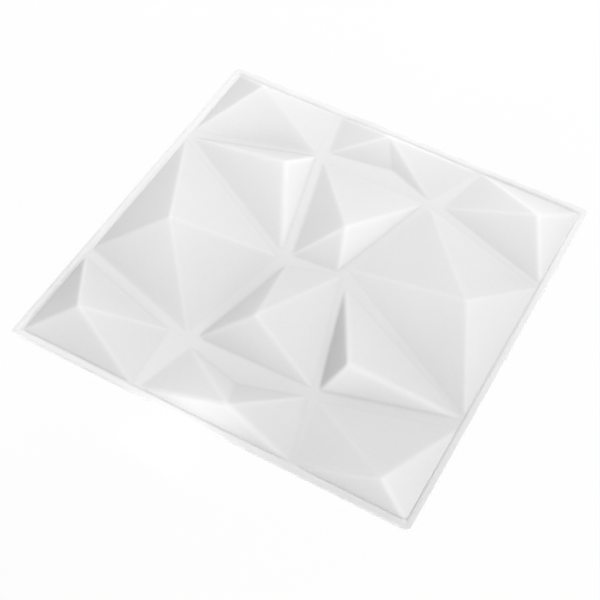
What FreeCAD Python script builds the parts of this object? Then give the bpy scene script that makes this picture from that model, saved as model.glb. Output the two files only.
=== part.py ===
"""Square decorative wall panel, formed from one thin sheet of rigid plastic.

The face is an irregular field of low pyramids with rounded ridges. Narrow flat
valleys lie between them at the level of the groove, some of them tapering, and
the sheet keeps its thickness, so the back is hollow under every peak and the
panel rests on the backs of its valleys. A groove and a raised, rounded lip run
all the way round the edge.

Millimetres. The back of the panel lies on z = 0 and the relief rises along +Z.
The origin is the middle of the back.
"""
import FreeCAD, Part
import os

# Driving sizes
side_length = 300.0         # outside width and height of the square panel
sheet_thickness = 1.0       # thickness of the sheet, measured square to the wall
ridge_radius = 4.0          # rounding of the ridges and peaks on the front
valley_width = 4.6          # flat between the feet of pyramids that share both corners
groove_width = 2.6          # flat between the lip and the feet of the border pyramids
lip_width = 3.2             # width of the raised lip round the edge
lip_height = 2.3            # top of the lip above the wall
lip_roundness = 0.35        # rounding of the lip's two upper edges, as a share of its width
corner_radius = 2.5         # rounding of the panel's four corners in plan

# Heights of the peaks above the valleys, before they are rounded
border_peak_height = 10.0   # the two peaks beside the front and back lips, and two corner peaks
field_peak_height = 11.8    # the four peaks inside the field
middle_peak_height = 12.0   # the two peaks either side of the middle
corner_peak_height = 13.0   # the two tall corner peaks

# Sizes that follow from the driving sizes. The pattern's outline is the middle
# of a valley that runs round the field
half_side = side_length / 2
half_pattern = half_side - lip_width - groove_width + valley_width / 2
pattern_unit = half_pattern / 100
panel_height = sheet_thickness + corner_peak_height

# Pyramids are made this much longer than they stand, so that their ridges are
# rounded all the way into the flat sheet
root_share = 1.6

# Points where valleys meet, in hundredths of half the pattern, from the middle:
# x runs to the right of the panel and y to its upper edge
valley_points = {
    "corner_sw": (-100.0, -100.0),
    "corner_se": (100.0, -100.0),
    "corner_ne": (100.0, 100.0),
    "corner_nw": (-100.0, 100.0),
    "south_left": (-37.0, -100.0),
    "south_right": (43.5, -100.0),
    "east_low": (100.0, -42.0),
    "east_high": (100.0, 45.0),
    "north_right": (45.0, 100.0),
    "north_left": (-37.0, 100.0),
    "west_high": (-100.0, 45.5),
    "west_low": (-100.0, -43.5),
    "inner_se": (35.0, -61.5),
    "inner_ne": (30.5, 66.5),
    "inner_nw": (-30.5, 66.5),
    "middle_left": (-13.5, -3.0),
    "middle_right": (15.0, 5.0),
    "south_tip": (2.0, -73.5),
    "north_tip": (4.5, 76.0),
    # Where a valley widens or narrows towards a point, the pyramids round it have
    # corners of their own. A pyramid lies on the side that the name ends with
    "south_right_west": (45.0, -100.0),
    "east_low_south": (100.0, -45.0),
    "east_low_west": (103.0, -41.5),
    "west_high_north": (-100.0, 48.0),
    "west_low_south": (-100.0, -46.5),
    "inner_sw_west": (-39.0, -64.0),
    "inner_sw_north": (-31.0, -63.5),
    "inner_sw_east": (-28.5, -63.5),
    "inner_sw_south": (-27.0, -66.5),
    "inner_se_south": (34.0, -63.5),
    "inner_se_east": (37.0, -63.5),
    "inner_ne_east": (36.5, 66.5),
    "inner_nw_north": (-30.5, 70.0),
    "inner_nw_west": (-33.5, 67.0),
    "inner_nw_south": (-33.0, 68.0),
    "middle_left_west": (-17.0, -1.0),
    "middle_left_north": (-15.5, -1.0),
    "middle_left_east": (-14.0, 1.0),
    "middle_right_west": (12.5, 3.5),
    "middle_right_east": (12.5, 8.0),
    "middle_right_south": (16.5, 1.0),
}

# Pyramids: peak in plan in the same units, its height, and the valley points
# round it, anticlockwise seen from the front
pyramids = [
    (-80.0, 91.5, border_peak_height, ("corner_nw", "west_high_north", "inner_nw_west", "north_left")),
    (-5.0, 92.5, border_peak_height, ("north_left", "inner_nw_north", "north_tip", "inner_ne", "north_right")),
    (82.5, 79.5, corner_peak_height, ("north_right", "inner_ne_east", "east_high", "corner_ne")),
    (-73.0, -12.0, field_peak_height, ("west_high", "west_low", "inner_sw_north", "middle_left_west")),
    (-42.5, 48.5, field_peak_height, ("inner_nw_south", "west_high", "middle_left_north")),
    (4.0, 25.5, middle_peak_height, ("inner_nw", "middle_left_east", "middle_right_west", "inner_ne")),
    (74.0, 14.0, field_peak_height, ("inner_ne", "middle_right_east", "east_low", "east_high")),
    (42.5, -45.0, field_peak_height, ("middle_right_south", "inner_se", "east_low_west")),
    (-7.0, -42.5, middle_peak_height, ("middle_left", "inner_sw_east", "inner_se", "middle_right")),
    (7.0, -90.0, border_peak_height,
     ("inner_sw_south", "south_left", "south_right_west", "inner_se_south", "south_tip")),
    (-80.0, -79.5, corner_peak_height, ("west_low_south", "corner_sw", "south_left", "inner_sw_west")),
    (81.5, -89.0, border_peak_height, ("inner_se_east", "south_right", "corner_se", "east_low_south")),
]


def pattern_point(place, level):
    """Point over a place of the pattern, at the given level above the wall."""
    return FreeCAD.Vector(place[0] * pattern_unit, place[1] * pattern_unit, level)


def neighbours(ring):
    """Each point of a closed ring with the points before and after it."""
    return zip(ring[-1:] + ring[:-1], ring, ring[1:] + ring[:1])


def foot_ring(names):
    """Foot of a pyramid: the ring of its valley points, drawn in by half a valley."""
    foot = []
    for before, point, after in neighbours([pattern_point(valley_points[name], sheet_thickness) for name in names]):
        back = (before - point).normalize()
        ahead = (after - point).normalize()
        foot.append(point + (back + ahead) * (valley_width / 2 / ahead.cross(back).z))
    return foot


def flat_face(corners):
    """Plane face through the given corners."""
    return Part.Face(Part.makePolygon(list(corners) + [corners[0]]))


def sharp_pyramid(peak, ring):
    """Closed pyramid from its peak and the corners of its foot."""
    sides = [flat_face([point, after, peak]) for before, point, after in neighbours(ring)]
    shell = Part.makeShell(sides + [flat_face(ring)])
    shell.sewShape()
    solid = Part.makeSolid(shell)
    if solid.Volume < 0:
        solid.reverse()
    return solid


def ridge_edges(solid, peak, ring):
    """Edges from the peak down to the corners, without the hollow crease at a tip."""
    edges = []
    for before, point, after in neighbours(ring):
        outward = (point - before).cross(peak - before)
        if outward.dot(after - point) < 0:
            middle = Part.Vertex((peak + point) / 2)
            edges.append(min(solid.Edges, key=lambda edge: edge.distToShape(middle)[0]))
    return edges


def rounded_pyramid(pyramid, drop, radius):
    """Pyramid with rounded ridges, made longer at its foot and lowered by the given drop.

    The kernel's rounding of a peak can fail for one starting corner of the ring
    and not for the next, so they are tried in turn.
    """
    peak_x, peak_y, height, names = pyramid
    peak = pattern_point((peak_x, peak_y), sheet_thickness + height)
    roots = [peak + (corner - peak) * root_share for corner in foot_ring(names)]
    for start in range(len(roots)):
        ring = roots[start:] + roots[:start]
        solid = sharp_pyramid(peak, ring)
        solid = solid.makeFillet(radius, ridge_edges(solid, peak, ring))
        if solid.isValid():
            solid.translate(FreeCAD.Vector(0, 0, -drop))
            return solid
    raise ValueError(f"no valid rounding of {radius} for the pyramid between {names}")


def square_block(half_width, bottom, top, upright_radius):
    """Square block about the panel's axis with its upright edges rounded."""
    corner = FreeCAD.Vector(-half_width, -half_width, bottom)
    block = Part.makeBox(2 * half_width, 2 * half_width, top - bottom, corner)
    upright = [edge for edge in block.Edges if edge.BoundBox.ZLength > (top - bottom) / 2]
    return block.makeFillet(upright_radius, upright) if upright_radius > 0 else block


def make_tray():
    """Flat sheet with the raised lip round it, the lip's two upper edges rounded."""
    tray = square_block(half_side, 0.0, lip_height, corner_radius)
    pocket_radius = max(corner_radius - lip_width, 0.0)
    tray = tray.cut(square_block(half_side - lip_width, sheet_thickness, 2 * lip_height, pocket_radius))
    crest = [edge for edge in tray.Edges if edge.BoundBox.ZMin > (sheet_thickness + lip_height) / 2]
    return tray.makeFillet(lip_roundness * lip_width, crest)


def make_panel():
    """The whole panel as one solid."""
    above = square_block(half_side, sheet_thickness / 2, panel_height, 0.0)
    fronts = [rounded_pyramid(pyramid, 0.0, ridge_radius).common(above) for pyramid in pyramids]
    hollow_radius = ridge_radius - sheet_thickness
    hollows = [rounded_pyramid(pyramid, sheet_thickness, hollow_radius) for pyramid in pyramids]
    return make_tray().fuse(fronts).cut(hollows).removeSplitter()


panel = make_panel()
os.makedirs("parts", exist_ok=True)
panel.exportStep("parts/panel_sheet.step")
print("panel_sheet valid", panel.isValid(), "solids", len(panel.Solids), "faces", len(panel.Faces))
print("volume cm3", round(panel.Volume / 1000, 2), "box", panel.optimalBoundingBox(True, False))
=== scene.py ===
"""Looks of a square faceted wall panel formed from one sheet of matt white plastic.

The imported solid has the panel's real sizes and sharp creases. Here the same
sheet is modelled again on that solid with the soft creases, the rounded lip and
the fine grain of the real one, and set on a white studio floor.
Sizes are in metres.
"""
import logging
import math
from dataclasses import dataclass, field
from enum import Enum

import bpy
import numpy as np
from mathutils import Matrix, Vector
from mathutils.bvhtree import BVHTree

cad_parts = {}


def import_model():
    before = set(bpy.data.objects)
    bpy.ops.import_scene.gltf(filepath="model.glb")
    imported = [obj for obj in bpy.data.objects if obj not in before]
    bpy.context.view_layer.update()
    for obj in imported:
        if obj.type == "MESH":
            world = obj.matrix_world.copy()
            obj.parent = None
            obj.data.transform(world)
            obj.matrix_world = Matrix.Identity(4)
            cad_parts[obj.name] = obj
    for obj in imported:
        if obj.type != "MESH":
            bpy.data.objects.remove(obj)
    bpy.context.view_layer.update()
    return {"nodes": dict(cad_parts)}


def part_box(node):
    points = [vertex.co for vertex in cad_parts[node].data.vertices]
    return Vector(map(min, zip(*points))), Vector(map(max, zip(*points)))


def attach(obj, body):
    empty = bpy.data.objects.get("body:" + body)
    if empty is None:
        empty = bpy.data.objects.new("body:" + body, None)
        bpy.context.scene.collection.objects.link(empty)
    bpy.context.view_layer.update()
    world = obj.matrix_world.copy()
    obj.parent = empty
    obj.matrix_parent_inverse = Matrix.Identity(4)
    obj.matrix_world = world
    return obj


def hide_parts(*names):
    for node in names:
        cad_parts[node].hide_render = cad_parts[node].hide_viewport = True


LOG = logging.getLogger("wall_panel")

MM = 0.001
PANEL_NODE = "panel_sheet"
PHOTO_SIDE = 600
# Vertex attribute of painted light and shade: painted highlights on ridges, peaks and the lip, painted shade
# at slope feet
PAINTED_LIGHT_ATTRIBUTE = "painted_light_and_shade"
WHITE = (1.0, 1.0, 1.0, 1.0)
TINY = 1e-9


class Operation(Enum):
    """Math node operations that the shader expressions use."""

    ADD = "ADD"
    SUBTRACT = "SUBTRACT"
    MULTIPLY = "MULTIPLY"


class Socket:
    """One output of a shader node, on which Python's operators add Math nodes."""

    def __init__(self, tree: bpy.types.NodeTree, output: bpy.types.NodeSocket) -> None:
        """Keeps the node tree and the output that this wraps."""
        self.tree = tree
        self.output = output

    def _math(self, operation: Operation, first: "Socket | float", second: "Socket | float") -> "Socket":
        """Adds one Math node.

        Args:
            operation: the Math node's operation.
            first: value or socket of its first input.
            second: value or socket of its second input.

        Returns:
            The node's output, wrapped.
        """
        node = self.tree.nodes.new("ShaderNodeMath")
        node.operation = operation.value
        feed(self.tree, node.inputs[0], first)
        feed(self.tree, node.inputs[1], second)
        return Socket(self.tree, node.outputs[0])

    def __add__(self, other: "Socket | float") -> "Socket":
        """Sum of this and another value."""
        return self._math(Operation.ADD, self, other)

    def __radd__(self, other: float) -> "Socket":
        """Sum with a plain number on the left."""
        return self._math(Operation.ADD, other, self)

    def __sub__(self, other: "Socket | float") -> "Socket":
        """This less another value."""
        return self._math(Operation.SUBTRACT, self, other)

    def __rsub__(self, other: float) -> "Socket":
        """A plain number less this."""
        return self._math(Operation.SUBTRACT, other, self)

    def __mul__(self, other: "Socket | float") -> "Socket":
        """Product of this and another value."""
        return self._math(Operation.MULTIPLY, self, other)

    def __rmul__(self, other: float) -> "Socket":
        """Product with a plain number on the left."""
        return self._math(Operation.MULTIPLY, other, self)


def feed(tree: bpy.types.NodeTree, slot: bpy.types.NodeSocket, value: object) -> None:
    """Feeds one input of a node.

    Args:
        tree: the node tree.
        slot: the input.
        value: a Socket to link to it, or a number or colour to set on it.
    """
    if isinstance(value, Socket):
        tree.links.new(value.output, slot)
    else:
        slot.default_value = value


class NodeMaker:
    """Builds the nodes of one material, or of the world, node by node."""

    def __init__(self, owner: bpy.types.Material | bpy.types.World, output: str) -> None:
        """Starts an empty tree with its output.

        Args:
            owner: the new material or world.
            output: type of its output node.
        """
        owner.use_nodes = True
        self.owner = owner
        self.tree = owner.node_tree
        self.tree.nodes.clear()
        self.out = self.node(output)

    def node(
            self, kind: str, settings: dict[str, object] | None = None,
            inputs: dict[str | int, object] | None = None) -> bpy.types.Node:
        """Adds a node.

        Args:
            kind: the node's type.
            settings: the node's own settings, set first.
            inputs: a number, colour or Socket for each input, by its name or place.

        Returns:
            The new node.
        """
        node = self.tree.nodes.new(kind)
        for name, value in (settings or {}).items():
            setattr(node, name, value)
        for slot, value in (inputs or {}).items():
            feed(self.tree, node.inputs[slot], value)
        return node

    def wrap(self, node: bpy.types.Node, output: str | int = 0) -> Socket:
        """A node's output, by its name or place, for use in expressions and as an input."""
        return Socket(self.tree, node.outputs[output])

    def place(self) -> Socket:
        """Object coordinates, the same from every view."""
        return self.wrap(self.node("ShaderNodeTexCoord"), "Object")

    def seen(self) -> Socket:
        """Tells the eye's and the reflections' rays from the light that falls on other things.

        Returns:
            1 for rays of the eye and for those reflected or let through, else 0.
        """
        rays = self.node("ShaderNodeLightPath")
        camera, glossy, transmission = (
            self.wrap(rays, f"Is {kind} Ray") for kind in ("Camera", "Glossy", "Transmission"))
        return camera + glossy + transmission

    def mixed(self, share: Socket, first: bpy.types.Node, second: bpy.types.Node) -> bpy.types.Node:
        """Mixes two shaders.

        Args:
            share: share of the second one.
            first: node of the first shader.
            second: node of the second shader.

        Returns:
            The node that mixes them.
        """
        return self.node("ShaderNodeMixShader", inputs={0: share, 1: self.wrap(first), 2: self.wrap(second)})

    def finish_with(self, shader: bpy.types.Node) -> bpy.types.Material | bpy.types.World:
        """Links the last shader to the output and returns the material or world."""
        feed(self.tree, self.out.inputs["Surface"], self.wrap(shader))
        return self.owner


def new_material(name: str) -> NodeMaker:
    """Maker of a new, empty material."""
    return NodeMaker(bpy.data.materials.new(name), "ShaderNodeOutputMaterial")


@dataclass(frozen=True)
class MattPlastic:
    """Matt white rigid plastic with the fine grain that forming leaves.

    The sheet carries painted light and shade: painted highlights along its ridges and peaks,
    painted light on its valleys, and painted shade at the feet of its slopes.
    """

    colour: tuple[float, float, float] = (0.82, 0.82, 0.82)
    shade_span: float = 0.2
    cloud_size: float = 45.0 * MM
    cloud_shade: float = 0.02
    fleck_size: float = 1.6 * MM
    fleck_shade: float = 0.03
    roughness: float = 0.30
    roughness_spread: float = 0.04
    grain_size: float = 0.9 * MM
    grain_depth: float = 0.015 * MM
    ripple_size: float = 14.0 * MM
    ripple_depth: float = 0.02 * MM
    refraction: float = 1.5

    def noise(self, maker: NodeMaker, size: float, detail: float = 2.0) -> Socket:
        """Noise of one size on Object coordinates, between 0 and 1.

        Args:
            maker: the material that is built.
            size: width of one patch.
            detail: octaves of finer noise.

        Returns:
            The noise's value.
        """
        patches = {"Vector": maker.place(), "Scale": 1.0 / size, "Detail": detail}
        return maker.wrap(maker.node("ShaderNodeTexNoise", inputs=patches))

    def tone(self, maker: NodeMaker) -> Socket:
        """Colour with its clouds and flecks, with the sheet's painted light and shade laid on.

        Args:
            maker: the material that is built.

        Returns:
            The colour.
        """
        # The attribute read here holds painted light and shade, set by the sheet's shape
        sheet = maker.wrap(maker.node("ShaderNodeAttribute", {"attribute_name": PAINTED_LIGHT_ATTRIBUTE}), "Fac")
        cloud = (self.noise(maker, self.cloud_size) - 0.5) * (2 * self.cloud_shade)
        fleck = (self.noise(maker, self.fleck_size) - 0.5) * (2 * self.fleck_shade)
        share = (sheet + cloud + fleck) * (0.5 / self.shade_span) + 0.5
        grey, light = (
            tuple(part * (1 + side * self.shade_span) for part in self.colour) + (1.0,) for side in (-1, 1))
        mix = maker.node("ShaderNodeMix", {"data_type": "RGBA"}, {"Factor": share, "A": grey, "B": light})
        return maker.wrap(mix, "Result")

    def make(self) -> bpy.types.Material:
        """Builds the material.

        Returns:
            The finished material.
        """
        maker = new_material("matt_white_plastic")
        cloud = self.noise(maker, self.cloud_size)
        roughness = cloud * (2 * self.roughness_spread) + (self.roughness - self.roughness_spread)
        grain = self.noise(maker, self.grain_size, detail=3.0)
        ripple = self.noise(maker, self.ripple_size, detail=1.0)
        height = grain * self.grain_depth + ripple * self.ripple_depth
        bump = maker.node("ShaderNodeBump", inputs={"Height": height, "Strength": 1.0, "Distance": 1.0})
        return maker.finish_with(maker.node("ShaderNodeBsdfPrincipled", inputs={
            "Base Color": self.tone(maker), "Roughness": roughness, "Normal": maker.wrap(bump),
            "IOR": self.refraction}))


@dataclass(frozen=True)
class StudioFloor:
    """White floor that shows as the photo's white, and keeps a soft shadow."""

    half_width: float = 3.0
    shade: float = 0.92
    shown_white: float = 0.95

    def make(self) -> bpy.types.Object:
        """Builds the floor.

        Returns:
            The floor.
        """
        bpy.ops.mesh.primitive_plane_add(size=2 * self.half_width, location=(0.0, 0.0, 0.0))
        floor = bpy.context.object
        floor.name = "studio_floor"
        floor.data.materials.append(self.material())
        return floor

    def material(self) -> bpy.types.Material:
        """White for the eye and for reflections, plain paint for light.

        Returns:
            The floor's material.
        """
        maker = new_material("studio_white")
        paint = maker.node("ShaderNodeBsdfDiffuse", inputs={"Color": (self.shade,) * 3 + (1.0,)})
        glow = maker.node("ShaderNodeEmission", inputs={"Color": WHITE, "Strength": 1.0})
        return maker.finish_with(maker.mixed(maker.seen() * self.shown_white, paint, glow))


def direction(azimuth: float, elevation: float) -> Vector:
    """Direction from the panel's middle.

    Args:
        azimuth: degrees round the panel, 0 at its front and 90 at its right.
        elevation: degrees above the floor.

    Returns:
        The unit vector.
    """
    turn, rise = math.radians(azimuth), math.radians(elevation)
    return Vector((math.sin(turn) * math.cos(rise), -math.cos(turn) * math.cos(rise), math.sin(rise)))


@dataclass(frozen=True)
class SoftBox:
    """One square studio light that looks at the panel."""

    name: str
    azimuth: float
    elevation: float
    distance: float
    width: float
    radiance: float

    def make(self) -> bpy.types.Object:
        """Hangs the light.

        Returns:
            The lamp.
        """
        out = direction(self.azimuth, self.elevation)
        lamp = bpy.data.lights.new(self.name, "AREA")
        lamp.shape = "SQUARE"
        lamp.size = self.width
        lamp.energy = self.radiance * math.pi * self.width ** 2
        lamp_object = bpy.data.objects.new(self.name, lamp)
        turned = out.to_track_quat("Z", "Y").to_matrix().to_4x4()
        lamp_object.matrix_world = Matrix.Translation(out * self.distance) @ turned
        lamp_object.visible_camera = False
        bpy.context.scene.collection.objects.link(lamp_object)
        return lamp_object


@dataclass
class Studio:
    """Floor, lights, world and camera of the photograph."""

    camera_azimuth: float = 27.04
    camera_elevation: float = 52.90
    camera_roll: float = 2.51
    camera_distance: float = 903.9 * MM
    camera_aside: float = -8.78 * MM
    camera_above: float = -21.23 * MM
    focal_pixels: float = 1280.3
    sensor_width: float = 36.0
    sky: float = 0.0
    soft_boxes: tuple[SoftBox, ...] = (
        SoftBox("key_right", azimuth=90.0, elevation=38.0, distance=1.3, width=0.4, radiance=13.8),
        SoftBox("key_low_right", azimuth=60.0, elevation=20.0, distance=1.3, width=0.4, radiance=6.2),
        SoftBox("low_front_right", azimuth=30.0, elevation=9.0, distance=1.3, width=0.4, radiance=13.8),
        SoftBox("front_edge", azimuth=355.0, elevation=10.0, distance=0.19, width=0.05, radiance=1.6),
        SoftBox("low_front_left", azimuth=315.0, elevation=8.0, distance=0.32, width=0.08, radiance=4.0),
        SoftBox("back_right", azimuth=150.0, elevation=32.0, distance=0.5, width=0.34, radiance=0.79),
        SoftBox("back_low", azimuth=180.0, elevation=12.0, distance=0.5, width=0.2, radiance=2.0),
        SoftBox("back_high", azimuth=190.0, elevation=50.0, distance=0.5, width=0.34, radiance=0.51),
        SoftBox("back_left_far", azimuth=210.0, elevation=38.0, distance=1.3, width=0.9, radiance=1.45),
        SoftBox("left", azimuth=240.0, elevation=32.0, distance=0.5, width=0.22, radiance=1.14),
        SoftBox("low_left", azimuth=240.0, elevation=12.0, distance=0.5, width=0.2, radiance=0.8),
        SoftBox("left_high", azimuth=255.0, elevation=58.0, distance=0.5, width=0.34, radiance=1.17),
        SoftBox("left_high_far", azimuth=240.0, elevation=60.0, distance=1.3, width=0.4, radiance=2.3),
    )

    def make(self) -> None:
        """Builds the whole studio."""
        StudioFloor().make()
        for soft_box in self.soft_boxes:
            soft_box.make()
        self.make_world()
        self.make_camera()
        bpy.context.scene.view_settings.view_transform = "Standard"

    def make_world(self) -> None:
        """Even surroundings: plain white to the eye, and the sky's own strength as light."""
        maker = NodeMaker(bpy.data.worlds.new("studio_world"), "ShaderNodeOutputWorld")
        dim = maker.node("ShaderNodeBackground", inputs={"Color": WHITE, "Strength": self.sky})
        white = maker.node("ShaderNodeBackground", inputs={"Color": WHITE, "Strength": 1.0})
        bpy.context.scene.world = maker.finish_with(maker.mixed(maker.seen(), dim, white))

    def make_camera(self) -> None:
        """Camera at the photograph's angle, from the solved view."""
        back = direction(self.camera_azimuth, self.camera_elevation)
        level_right = direction(self.camera_azimuth + 90.0, 0.0)
        level_up = back.cross(level_right)
        roll = math.radians(self.camera_roll)
        right = level_right * math.cos(roll) + level_up * math.sin(roll)
        up = level_up * math.cos(roll) - level_right * math.sin(roll)
        place = right * self.camera_aside + up * self.camera_above + back * self.camera_distance
        camera = bpy.data.cameras.new("photo_camera")
        camera.sensor_width = self.sensor_width
        camera.lens = self.focal_pixels * self.sensor_width / PHOTO_SIDE
        camera_object = bpy.data.objects.new("photo_camera", camera)
        turned = Matrix((right, up, back)).transposed().to_4x4()
        camera_object.matrix_world = Matrix.Translation(place) @ turned
        bpy.context.scene.collection.objects.link(camera_object)
        bpy.context.scene.camera = camera_object


def read_points(piece: bpy.types.Object) -> np.ndarray:
    """Reads where a mesh's vertices are.

    Args:
        piece: object with the mesh.

    Returns:
        One row of X, Y and Z for each vertex.
    """
    points = np.zeros(len(piece.data.vertices) * 3)
    piece.data.vertices.foreach_get("co", points)
    return points.reshape(-1, 3)


def move_points(piece: bpy.types.Object, points: np.ndarray) -> None:
    """Puts a mesh's vertices at the given places."""
    piece.data.vertices.foreach_set("co", points.ravel())
    piece.data.update()


def square_reach(points: np.ndarray) -> np.ndarray:
    """Half width of the square about the panel's axis that each point lies on."""
    return np.max(np.abs(points[:, :2]), axis=1)


@dataclass
class HeightMap:
    """Heights of the solid's front face on a square grid."""

    half_width: float
    pitch: float
    ray_start: float = 1.0
    ray_inset: float = 1e-6
    blur_spans: float = 3.0
    heights: np.ndarray = field(init=False)

    def measure(self, solid: bpy.types.Object) -> None:
        """Measures the solid from above.

        Args:
            solid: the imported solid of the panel.
        """
        tree = BVHTree.FromObject(solid, bpy.context.evaluated_depsgraph_get())
        count = round(2 * self.half_width / self.pitch) + 1
        places = np.linspace(-self.half_width, self.half_width, count)
        inside = 1 - self.ray_inset
        down = Vector((0.0, 0.0, -1.0))
        self.heights = np.zeros((count, count))
        for row, y in enumerate(places):
            for column, x in enumerate(places):
                start = (x * inside, y * inside, self.ray_start)
                self.heights[row, column] = tree.ray_cast(start, down)[0].z

    def softened(self, heights: np.ndarray, radius: float) -> np.ndarray:
        """Blurs a height map evenly.

        Args:
            heights: map to blur.
            radius: standard deviation of the blur, in metres.

        Returns:
            The blurred heights.
        """
        steps = max(1, math.ceil(self.blur_spans * radius / self.pitch))
        offsets = np.arange(-steps, steps + 1) * self.pitch
        kernel = np.exp(-0.5 * (offsets / radius) ** 2)
        kernel /= kernel.sum()
        padded = np.pad(heights, steps, mode="edge")
        rows = np.apply_along_axis(np.convolve, 1, padded, kernel, mode="valid")
        return np.apply_along_axis(np.convolve, 0, rows, kernel, mode="valid")

    def sample(self, heights: np.ndarray, points: np.ndarray) -> np.ndarray:
        """Reads a map of this grid between its own points.

        Args:
            heights: map to read.
            points: places, one row each.

        Returns:
            The map's value at each place.
        """
        last = heights.shape[0] - 1
        column = np.clip((points[:, 0] + self.half_width) / self.pitch, 0, last - TINY)
        row = np.clip((points[:, 1] + self.half_width) / self.pitch, 0, last - TINY)
        left, low = column.astype(int), row.astype(int)
        across, along = column - left, row - low
        lower = heights[low, left] * (1 - across) + heights[low, left + 1] * across
        upper = heights[low + 1, left] * (1 - across) + heights[low + 1, left + 1] * across
        return lower * (1 - along) + upper * along


@dataclass
class FormedSheet:
    """The panel: a softened relief, a groove, a rounded lip and a hollow back."""

    sheet: float = 1.0 * MM
    # Rim: out of the groove the sheet climbs softly to the lip, whose outer edge is rounded
    lip_width: float = 3.2 * MM
    lip_height: float = 1.9 * MM
    groove_width: float = 2.6 * MM
    lip_climb: float = 2.6 * MM
    lip_round: float = 0.8 * MM
    lip_drop: float = 1.0 * MM
    back_edge: float = 0.12 * MM
    corner_radius: float = 2.5 * MM
    hollow_margin: float = 5.6 * MM
    arc_steps: int = 6
    # Meshes, the height map that they follow, and how far it is softened
    front_cells: int = 256
    back_cells: int = 110
    border_width: float = 0.01 * MM
    weld_distance: float = 1e-6
    smooth_angle: float = 50.0
    map_pitch: float = 0.5 * MM
    valley_radius: float = 0.8 * MM
    crease_radius: float = 0.25 * MM
    # Painted light and shade of the finish: by height, on the valleys, on peaks and ridges, and on the lip
    painted_height_light_gain: float = 0.007 / MM
    height_middle: float = 4.5 * MM
    painted_valley_light: float = 0.035
    valley_depth: float = 0.3 * MM
    painted_peak_light_reach: float = 10.0 * MM
    painted_peak_light_gain: float = 0.009 / MM
    painted_ridge_highlight_reach: float = 1.2 * MM
    painted_ridge_highlight_gain: float = 0.45 / MM
    painted_lip_highlight: float = 0.10
    finish: MattPlastic = MattPlastic()
    # Found from the solid
    half_side: float = field(init=False)
    half_face: float = field(init=False)
    relief: HeightMap = field(init=False)
    face: np.ndarray = field(init=False)

    def make(self, solid: bpy.types.Object) -> bpy.types.Object:
        """Models the sheet on its solid and lets it stand for it.

        Args:
            solid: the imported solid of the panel.

        Returns:
            The finished piece.
        """
        low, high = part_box(PANEL_NODE)
        self.half_side = (high[0] - low[0]) / 2
        self.half_face = self.half_side - self.lip_width - self.groove_width
        self.relief = HeightMap(self.half_face, self.map_pitch)
        self.relief.measure(solid)
        self.face = self.formed_face()
        front = self.make_front()
        back = self.make_back()
        piece = self.join_faces(front, back)
        self.note_painted_light(piece)
        piece.data.materials.append(self.finish.make())
        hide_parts(PANEL_NODE)
        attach(piece, "root")
        return piece

    def formed_face(self) -> np.ndarray:
        """Front face with the feet of its slopes rounded, as the warm sheet bridges them.

        Returns:
            Height map of the front face.
        """
        heights = self.relief.heights
        bridged = np.maximum(heights, self.relief.softened(heights, self.valley_radius))
        return self.relief.softened(bridged, self.crease_radius)

    def note_painted_light(self, piece: bpy.types.Object) -> None:
        """Notes at each vertex the painted light and shade for its height and its place, for the finish.

        Args:
            piece: the closed sheet.
        """
        face = self.relief.heights
        rise = np.maximum(face - self.sheet, 0.0)
        # Painted light high up and painted shade low down on the slopes
        shade = self.painted_height_light_gain * (rise - self.height_middle)
        # Painted light on the valley floors
        shade += self.painted_valley_light * np.exp(-rise / self.valley_depth)
        # Painted highlights on peaks and ridges, and painted shade in the creases at the feet of slopes
        for reach, gain in ((self.painted_peak_light_reach, self.painted_peak_light_gain), (self.painted_ridge_highlight_reach, self.painted_ridge_highlight_gain)):
            shade += gain * (face - self.relief.softened(face, reach))
        points = read_points(piece)
        reach = square_reach(points)
        climb = np.clip((points[:, 2] - self.sheet) / (self.lip_height - self.sheet), 0.0, 1.0)
        lip = np.where(reach > self.half_side - self.lip_round, 1.0, climb)
        # The lip gets a painted highlight that grows up its climb and covers its rounded crest
        values = np.where(reach > self.half_face, self.painted_lip_highlight * lip, self.relief.sample(shade, points))
        attribute = piece.data.attributes.new(PAINTED_LIGHT_ATTRIBUTE, "FLOAT", "POINT")
        attribute.data.foreach_set("value", values.astype(np.float32))

    def add_grid(self, name: str, cells: int, half_width: float, drop: float) -> bpy.types.Object:
        """Adds a square grid and lifts it to the formed face.

        Args:
            name: name of the new object.
            cells: cells along each side.
            half_width: half of its width.
            drop: distance below the front face.

        Returns:
            The lifted grid, with its border level.
        """
        bpy.ops.mesh.primitive_grid_add(
            x_subdivisions=cells, y_subdivisions=cells, size=2 * half_width, location=(0.0, 0.0, 0.0))
        grid = bpy.context.object
        grid.name = name
        points = read_points(grid)
        heights = np.maximum(self.relief.sample(self.face, points), self.sheet)
        border = square_reach(points) > half_width - self.border_width
        points[:, 2] = np.where(border, self.sheet, heights) - drop
        move_points(grid, points)
        return grid

    def rim_section(self) -> list[tuple[float, float]]:
        """Section of the rim, from the face's edge out, over the lip and back under.

        Returns:
            Distances from the panel's axis and heights, in order.
        """
        rise = self.lip_height - self.sheet
        shares = [step / self.arc_steps for step in range(self.arc_steps + 1)]
        section = [
            (self.half_face + self.lip_climb * share, self.sheet + rise * math.sin(math.pi / 2 * share))
            for share in shares[1:]]
        for share in shares:
            angle = math.pi / 2 * share
            reach = self.half_side - self.lip_round * (1 - math.sin(angle))
            section.append((reach, self.lip_height - self.lip_drop * (1 - math.cos(angle))))
        inner = self.half_side - self.lip_width
        section += [(self.half_side, self.back_edge), (self.half_side - self.back_edge, 0.0), (inner, 0.0)]
        return section

    def edit_open_edges(self) -> None:
        """Opens the active mesh for editing with only its open edges selected."""
        bpy.ops.object.mode_set(mode="EDIT")
        bpy.ops.mesh.select_mode(type="EDGE")
        bpy.ops.mesh.select_all(action="DESELECT")
        bpy.ops.mesh.select_non_manifold()

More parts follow.
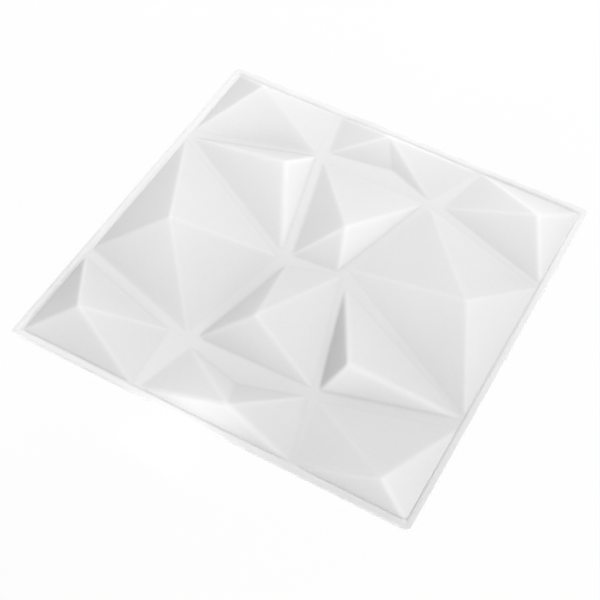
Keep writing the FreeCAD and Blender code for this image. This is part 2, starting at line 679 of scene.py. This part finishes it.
    def make_front(self) -> bpy.types.Object:
        """Front grid with the rim drawn out from its edge.

        Returns:
            The front face and rim, open at the back.
        """
        front = self.add_grid("formed_sheet", self.front_cells, self.half_face, 0.0)
        reach, level = self.half_face, self.sheet
        self.edit_open_edges()
        for out, height in self.rim_section():
            grow = out / reach
            bpy.ops.mesh.extrude_region_move(TRANSFORM_OT_translate={"value": (0.0, 0.0, height - level)})
            bpy.ops.transform.resize(value=(grow, grow, 1.0), center_override=(0.0, 0.0, 0.0))
            reach, level = out, height
        bpy.ops.object.mode_set(mode="OBJECT")
        self.round_corners(front)
        return front

    def round_corners(self, piece: bpy.types.Object) -> None:
        """Rounds the rim's corners in plan, about the panel's own corner centres.

        Args:
            piece: mesh whose rim has square corners.
        """
        points = read_points(piece)
        reach = square_reach(points)
        radius = self.corner_radius - (self.half_side - reach)
        centre = (reach - radius)[:, None]
        across = np.abs(points[:, :2]) - centre
        corner = (radius > self.weld_distance) & np.all(across > 0, axis=1)
        scale = np.where(corner, radius / np.maximum(np.linalg.norm(across, axis=1), TINY), 1.0)
        moved = (centre + across * scale[:, None]) * np.sign(points[:, :2])
        points[:, :2] = np.where(corner[:, None], moved, points[:, :2])
        move_points(piece, points)

    def make_back(self) -> bpy.types.Object:
        """Coarser grid for the hollow back, one sheet below the front and facing down.

        Returns:
            The back face.
        """
        half_width = self.half_side - self.hollow_margin
        back = self.add_grid("formed_sheet_back", self.back_cells, half_width, self.sheet)
        bpy.ops.object.mode_set(mode="EDIT")
        bpy.ops.mesh.select_all(action="SELECT")
        bpy.ops.mesh.flip_normals()
        bpy.ops.object.mode_set(mode="OBJECT")
        return back

    def join_faces(self, front: bpy.types.Object, back: bpy.types.Object) -> bpy.types.Object:
        """Joins front and back into one closed sheet.

        Args:
            front: front face and rim.
            back: back face.

        Returns:
            The closed sheet.
        """
        bpy.ops.object.select_all(action="DESELECT")
        front.select_set(True)
        back.select_set(True)
        bpy.context.view_layer.objects.active = front
        bpy.ops.object.join()
        self.edit_open_edges()
        bpy.ops.mesh.bridge_edge_loops()
        bpy.ops.mesh.select_all(action="SELECT")
        bpy.ops.mesh.remove_doubles(threshold=self.weld_distance)
        bpy.ops.mesh.normals_make_consistent(inside=False)
        bpy.ops.object.mode_set(mode="OBJECT")
        bpy.ops.object.shade_smooth_by_angle(angle=math.radians(self.smooth_angle))
        return front


def main() -> None:
    """Builds the panel and its studio."""
    logging.basicConfig(level=logging.INFO, format="%(name)s: %(message)s")
    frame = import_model()
    Studio().make()
    bpy.ops.object.select_all(action="DESELECT")
    piece = FormedSheet().make(frame["nodes"][PANEL_NODE])
    LOG.info("%s: %d faces", piece.name, len(piece.data.polygons))


if __name__ == "__main__":
    main()
